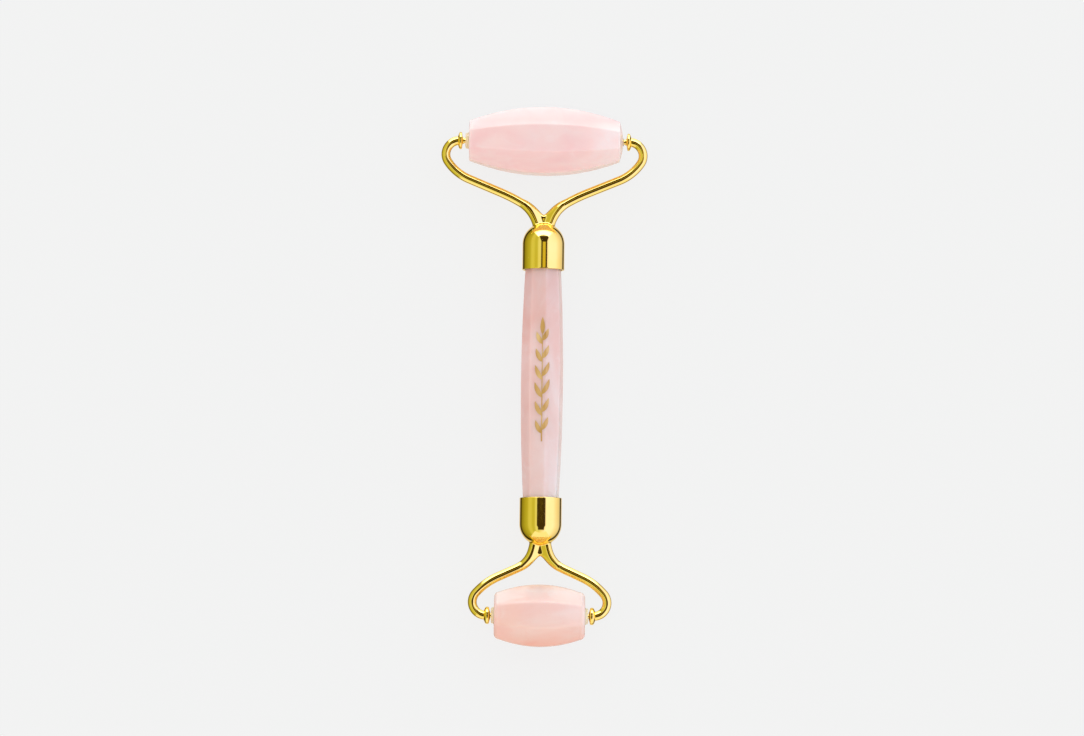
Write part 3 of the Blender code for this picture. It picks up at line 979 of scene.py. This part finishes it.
def make_floor():
    """A pale seamless floor that is mostly lit evenly by itself, so that shadows on it stay faint."""
    half = FLOOR_SIZE / 2
    mesh = bpy.data.meshes.new("floor")
    corners = [(-half, -half, 0), (half, -half, 0), (half, half, 0), (-half, half, 0)]
    mesh.from_pydata(corners, [], [(0, 1, 2, 3)])
    floor = bpy.data.objects.new("floor", mesh)
    bpy.context.scene.collection.objects.link(floor)
    floor.location.z = -0.02 * MM
    material, nodes, shader = new_material("pale_floor")
    tone = nodes.noise(nodes.stretched((1, 1, 1)), 3.0, detail=1.0)
    grey = FLOOR_GREY * SHADOW_SHARE
    colour = nodes.ramp(tone, [(0.0, (grey * 0.99,) * 3), (1.0, (grey * 1.01,) * 3)])
    nodes.link(colour, shader["Base Color"])
    shader["Roughness"].default_value = 1.0
    shader["Specular IOR Level"].default_value = 0.0
    shader["Emission Color"].default_value = (1, 1, 1, 1)
    shader["Emission Strength"].default_value = FLOOR_GREY * (1 - SHADOW_SHARE)
    mesh.materials.append(material)
    floor.visible_glossy = False


def side_screens(nodes, round_axis):
    """The screens beside the object, by the angle round its long axis: 0 overhead, positive to the right."""

    def stop(degrees, colour):
        return (degrees / 360 + 0.5, colour)

    return nodes.ramp(
        nodes.between(round_axis, -math.pi, math.pi, smooth=False),
        [
            stop(-152, GLOW_BELOW),
            stop(-146, GLOW_GAP),
            stop(-133, GLOW_GAP),
            stop(-121, (0.28, 0.26, 0.04)),
            stop(-95, (0.44, 0.44, 0.09)),
            stop(-78, (0.52, 0.53, 0.14)),
            stop(-66, (0.70, 0.72, 0.38)),
            stop(-54, (0.70, 0.72, 0.35)),
            stop(-42, (0.58, 0.59, 0.20)),
            stop(-33, (0.62, 0.64, 0.26)),
            stop(-25, (0.86, 0.90, 0.88)),
            stop(-13, (0.80, 0.84, 0.73)),
            stop(18, (1.12, 1.08, 2.0)),
            stop(34, (1.26, 1.24, 3.0)),
            stop(72, (1.22, 1.20, 2.8)),
            stop(95, (1.0, 0.97, 1.85)),
            stop(122, (0.80, 0.77, 1.25)),
            stop(134, GLOW_GAP),
            stop(146, GLOW_GAP),
            stop(152, GLOW_BELOW),
        ],
    )


def slot_edge(nodes, along, tail, narrow, wide):
    """The angle from overhead to one edge of the dark slot, narrow where the upper cap mirrors it."""
    edge = nodes.between(along, 3.4 * DEGREE, 5.2 * DEGREE, wide * DEGREE, narrow * DEGREE)
    return nodes.math("SUBTRACT", edge, tail)


def dark_slot(nodes, round_axis, along):
    """One within the dark slot between the side screens overhead, which flares towards the wide roller."""
    flare = nodes.between(along, 8 * DEGREE, 40 * DEGREE, 0, 12 * DEGREE)
    tail = nodes.between(along, -20 * DEGREE, -8 * DEGREE, 5 * DEGREE, 0)
    left = slot_edge(nodes, along, tail, narrow=12, wide=20)
    right = slot_edge(nodes, along, tail, narrow=21, wide=27)
    inside = nodes.math(
        "MINIMUM",
        nodes.math("ADD", nodes.math("ADD", round_axis, left), flare),
        nodes.math("ADD", nodes.math("SUBTRACT", right, round_axis), flare),
    )
    return nodes.math(
        "MULTIPLY",
        nodes.between(inside, -2.5 * DEGREE, 2.5 * DEGREE),
        nodes.window(along, -34 * DEGREE, 42 * DEGREE, 4 * DEGREE),
    )


def studio_glow(nodes, x, y, z):
    """What polished metal mirrors: a screen on each side, a dark slot overhead, a softbox at each end."""
    round_axis = nodes.math("ARCTAN2", x, z)
    along = nodes.math("ARCSINE", y)
    elevation = nodes.math("ARCSINE", z)
    lift = nodes.math(
        "MULTIPLY",
        nodes.window(along, 4.2 * DEGREE, 9 * DEGREE, 0.8 * DEGREE),
        nodes.window(round_axis, -4 * DEGREE, 12 * DEGREE, 3 * DEGREE),
    )
    slot = dark_slot(nodes, round_axis, along)
    glow = nodes.mix(slot, side_screens(nodes, round_axis), nodes.mix(lift, GLOW_SLOT, GLOW_LIFT))
    azimuth = nodes.math("ARCTAN2", nodes.math("ABSOLUTE", x), nodes.math("ABSOLUTE", y))
    ahead = nodes.between(azimuth, 40 * DEGREE, 34 * DEGREE)
    high = nodes.window(elevation, -25 * DEGREE, 42 * DEGREE, 2 * DEGREE)
    level = nodes.between(elevation, 10 * DEGREE, 20 * DEGREE)
    top = nodes.math("MULTIPLY", nodes.math("MULTIPLY", ahead, nodes.math("GREATER_THAN", y, 0.0)), high)
    glow = nodes.mix(top, glow, nodes.mix(level, GLOW_TOP_LOW, GLOW_TOP_HIGH))
    low = nodes.window(elevation, -16 * DEGREE, 40 * DEGREE, 3 * DEGREE)
    bottom = nodes.math("MULTIPLY", nodes.math("MULTIPLY", ahead, nodes.math("LESS_THAN", y, 0.0)), low)
    return nodes.mix(bottom, glow, GLOW_BOTTOM)


def soft_fill(nodes, x, y):
    """The light on the stones: whiter from the wide roller's end and the right, pinker from elsewhere."""
    mixed = nodes.add("ShaderNodeCombineColor")
    for socket, (level, by_x, by_y) in zip(mixed.inputs, FILL):
        tilted = nodes.math("MULTIPLY_ADD", x, by_x, level)
        nodes.link(nodes.math("MULTIPLY_ADD", y, by_y, tilted), socket)
    return mixed.outputs["Color"]


def make_world():
    """The studio round the object: one light for mirrored rays, one for all others, grey for the camera."""
    world = bpy.data.worlds.new("studio")
    bpy.context.scene.world = world
    world.use_nodes = True
    world.cycles.sampling_method = "NONE"
    tree = world.node_tree
    tree.nodes.clear()
    nodes = Nodes(tree)
    coordinates = nodes.add("ShaderNodeTexCoord")
    split = nodes.add("ShaderNodeSeparateXYZ")
    nodes.link(coordinates.outputs["Generated"], split.inputs["Vector"])
    x, y, z = split.outputs
    path = nodes.add("ShaderNodeLightPath")
    mirrored = nodes.math("GREATER_THAN", path.outputs["Is Glossy Ray"], path.outputs["Diffuse Depth"])
    light = nodes.mix(mirrored, soft_fill(nodes, x, y), studio_glow(nodes, x, y, z))
    light = nodes.mix(path.outputs["Is Camera Ray"], light, (FLOOR_GREY,) * 3)
    background = nodes.add("ShaderNodeBackground")
    nodes.link(light, background.inputs["Color"])
    output = nodes.add("ShaderNodeOutputWorld")
    nodes.link(background.outputs["Background"], output.inputs["Surface"])


def make_camera():
    """A long lens almost straight above the handle, leaning a little towards the small roller."""
    middle, _, _, _ = handle_frame()
    toward = Vector((0, -math.sin(VIEW_TILT), math.cos(VIEW_TILT)))
    up = Vector((0, math.cos(VIEW_TILT), math.sin(VIEW_TILT)))
    right = Vector((1, 0, 0))
    picture_right = right * math.cos(VIEW_ROLL) + up * math.sin(VIEW_ROLL)
    picture_up = up * math.cos(VIEW_ROLL) - right * math.sin(VIEW_ROLL)
    data = bpy.data.cameras.new("camera")
    data.sensor_width = SENSOR
    data.lens = SENSOR * VIEW_DISTANCE / VIEW_WIDTH
    data.clip_start = 0.05
    data.clip_end = 20.0
    camera = bpy.data.objects.new("camera", data)
    bpy.context.scene.collection.objects.link(camera)
    turn = Matrix((picture_right, picture_up, toward)).transposed().to_4x4()
    place = middle + picture_up * VIEW_RISE + toward * VIEW_DISTANCE
    camera.matrix_world = Matrix.Translation(place) @ turn
    bpy.context.scene.camera = camera


# ---------------------------------------------------------------- the object

gold = make_gold()
foil = make_foil()
nylon = make_nylon()
steel = make_steel()
upper_y, lower_y = UPPER.axle_y, LOWER.axle_y
roller_stones = {
    "upper": make_stone(
        "rose_quartz_upper",
        (0.93, 0.60, 0.62),
        (0.95, 0.68, 0.685),
        (0.96, 0.75, 0.765),
        "X",
        {
            "X": [
                (-20 * MM, (0.97, 1.03, 1.03)),
                (-8 * MM, (1.0, 1.0, 1.0)),
                (8 * MM, (1.0, 1.0, 1.0)),
                (12 * MM, (1.01, 0.96, 0.96)),
                (17 * MM, (0.97, 1.02, 1.02)),
            ],
            # Across Y: painted highlight, whiter on the slanted facets and most on the one towards +Y, and a
            # painted pinker shade line just past the ridge near +5 mm.
            "Y": [
                (upper_y - 8 * MM, (1.0, 1.02, 1.02)),
                (upper_y - 4 * MM, (1.0, 1.0, 1.0)),
                (upper_y + 3.8 * MM, (1.0, 1.0, 1.0)),
                (upper_y + 5 * MM, (0.99, 0.95, 0.95)),
                (upper_y + 9 * MM, (0.99, 1.05, 1.06)),
            ],
        },
    ),
    "lower": make_stone(
        "rose_quartz_lower",
        (0.92, 0.57, 0.52),
        (0.93, 0.64, 0.60),
        (0.94, 0.72, 0.69),
        "X",
        {
            "X": [(-12 * MM, (0.99, 1.02, 1.01)), (4 * MM, (1.0, 1.0, 1.0)), (11 * MM, (0.97, 0.99, 1.0))],
            # Across Y: painted shade, deepening to peach towards the underside at -Y, and a painted
            # highlight, whiter on the facet towards +Y.
            "Y": [
                (lower_y - 8 * MM, (0.93, 0.75, 0.66)),
                (lower_y - 4 * MM, (0.96, 0.90, 0.86)),
                (lower_y, (0.98, 0.99, 1.0)),
                (lower_y + 3.5 * MM, (0.98, 1.02, 1.06)),
                (lower_y + 6.5 * MM, (0.95, 1.08, 1.14)),
                (lower_y + 8 * MM, (0.96, 0.97, 0.92)),
            ],
        },
    ),
}
# The handle's stone is darker than the rollers' stone: painted shade standing in for the dimmer light on the
# slim rod. Along Y it is paler towards -Y and darker towards +Y.
handle_stone = make_stone(
    "rose_quartz_handle",
    (0.80, 0.49, 0.47),
    (0.83, 0.56, 0.55),
    (0.84, 0.64, 0.65),
    "Y",
    {
        "Y": [
            (-33 * MM, (0.96, 1.08, 1.10)),
            (-12 * MM, (0.98, 1.08, 1.10)),
            (8 * MM, (1.0, 1.02, 1.03)),
            (28 * MM, (0.88, 0.85, 0.86)),
        ],
    },
)

make_handle()
make_sprig()
make_roller(UPPER, ridge=0.7 * MM, rim=0.45 * MM, end_share=5.65 / 9.7)
make_roller(LOWER, ridge=1.5 * MM, rim=1.45 * MM, end_share=6.3 / 8.95)
for head in (UPPER, LOWER):
    route = wire_route(head)
    make_cap(head)
    make_fork_root(head, route)
    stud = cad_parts[f"{head.name}_stud"]
    stud.data.materials.clear()
    stud.data.materials.append(steel)
    for side, sign in SIDES:
        make_wire(head, route, side, sign)
        make_collar(head, side, sign)
        make_pin(head, side, sign)
        make_bush(head, side, sign)

make_floor()
make_world()
make_camera()
bpy.context.scene.view_settings.view_transform = "Standard"

bpy.context.view_layer.update()
